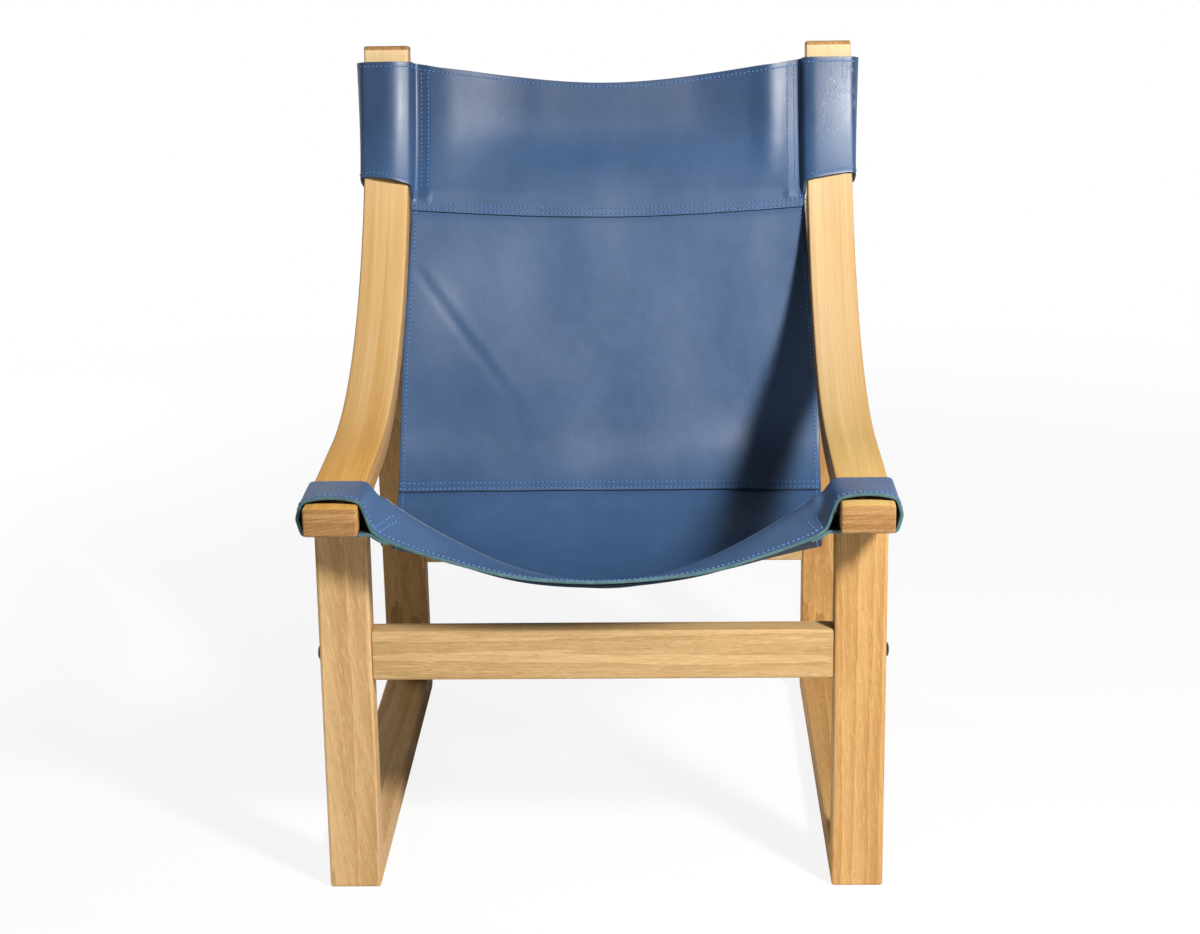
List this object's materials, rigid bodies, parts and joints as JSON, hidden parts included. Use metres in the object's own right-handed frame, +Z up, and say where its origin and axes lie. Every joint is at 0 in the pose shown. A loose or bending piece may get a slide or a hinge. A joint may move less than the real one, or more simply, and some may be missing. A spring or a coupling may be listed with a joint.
{
  "type": "sling lounge chair",
  "caption": "Low lounge chair with bent laminated side runners on timber legs and floor rails, and a leather sling seat and back hung from stitched loops.",
  "frame": {"origin": "on the floor under the middle of the chair's bounding box", "axes": "+X to the viewer's right when facing the chair, +Y from the front of the chair to its back, +Z up"},
  "size_m": [0.6168, 0.6981, 0.8512],
  "materials": {
    "laminate": "satin oiled, thin laminations glued and bent",
    "timber": "satin oiled hardwood",
    "dowel": "plain fluted-size beech dowel",
    "black_steel": "black satin",
    "zinc_steel": "zinc plated",
    "leather": "blue vegetable-tanned saddle leather, semi-gloss, raw teal edges"
  },
  "bodies": {
    "root": {"left_runner": "laminate", "left_front_leg": "timber", "left_rear_leg": "timber", "left_floor_rail": "timber", "left_runner_dowel_1": "dowel", "left_runner_dowel_2": "dowel", "left_front_rail_dowel_1": "dowel", "left_front_rail_dowel_2": "dowel", "left_rear_rail_dowel_1": "dowel", "left_rear_rail_dowel_2": "dowel", "left_front_bolt": "black_steel", "left_rear_bolt": "black_steel", "left_back_screw": "black_steel", "left_front_barrel_nut": "zinc_steel", "left_rear_barrel_nut": "zinc_steel", "right_runner": "laminate", "right_front_leg": "timber", "right_rear_leg": "timber", "right_floor_rail": "timber", "right_runner_dowel_1": "dowel", "right_runner_dowel_2": "dowel", "right_front_rail_dowel_1": "dowel", "right_front_rail_dowel_2": "dowel", "right_rear_rail_dowel_1": "dowel", "right_rear_rail_dowel_2": "dowel", "right_front_bolt": "black_steel", "right_rear_bolt": "black_steel", "right_back_screw": "black_steel", "right_front_barrel_nut": "zinc_steel", "right_rear_barrel_nut": "zinc_steel", "front_stretcher": "timber", "rear_stretcher": "timber", "seat_panel": "leather", "back_panel": "leather", "head_panel": "leather", "front_strap": "leather"}
  },
  "joints": []
}
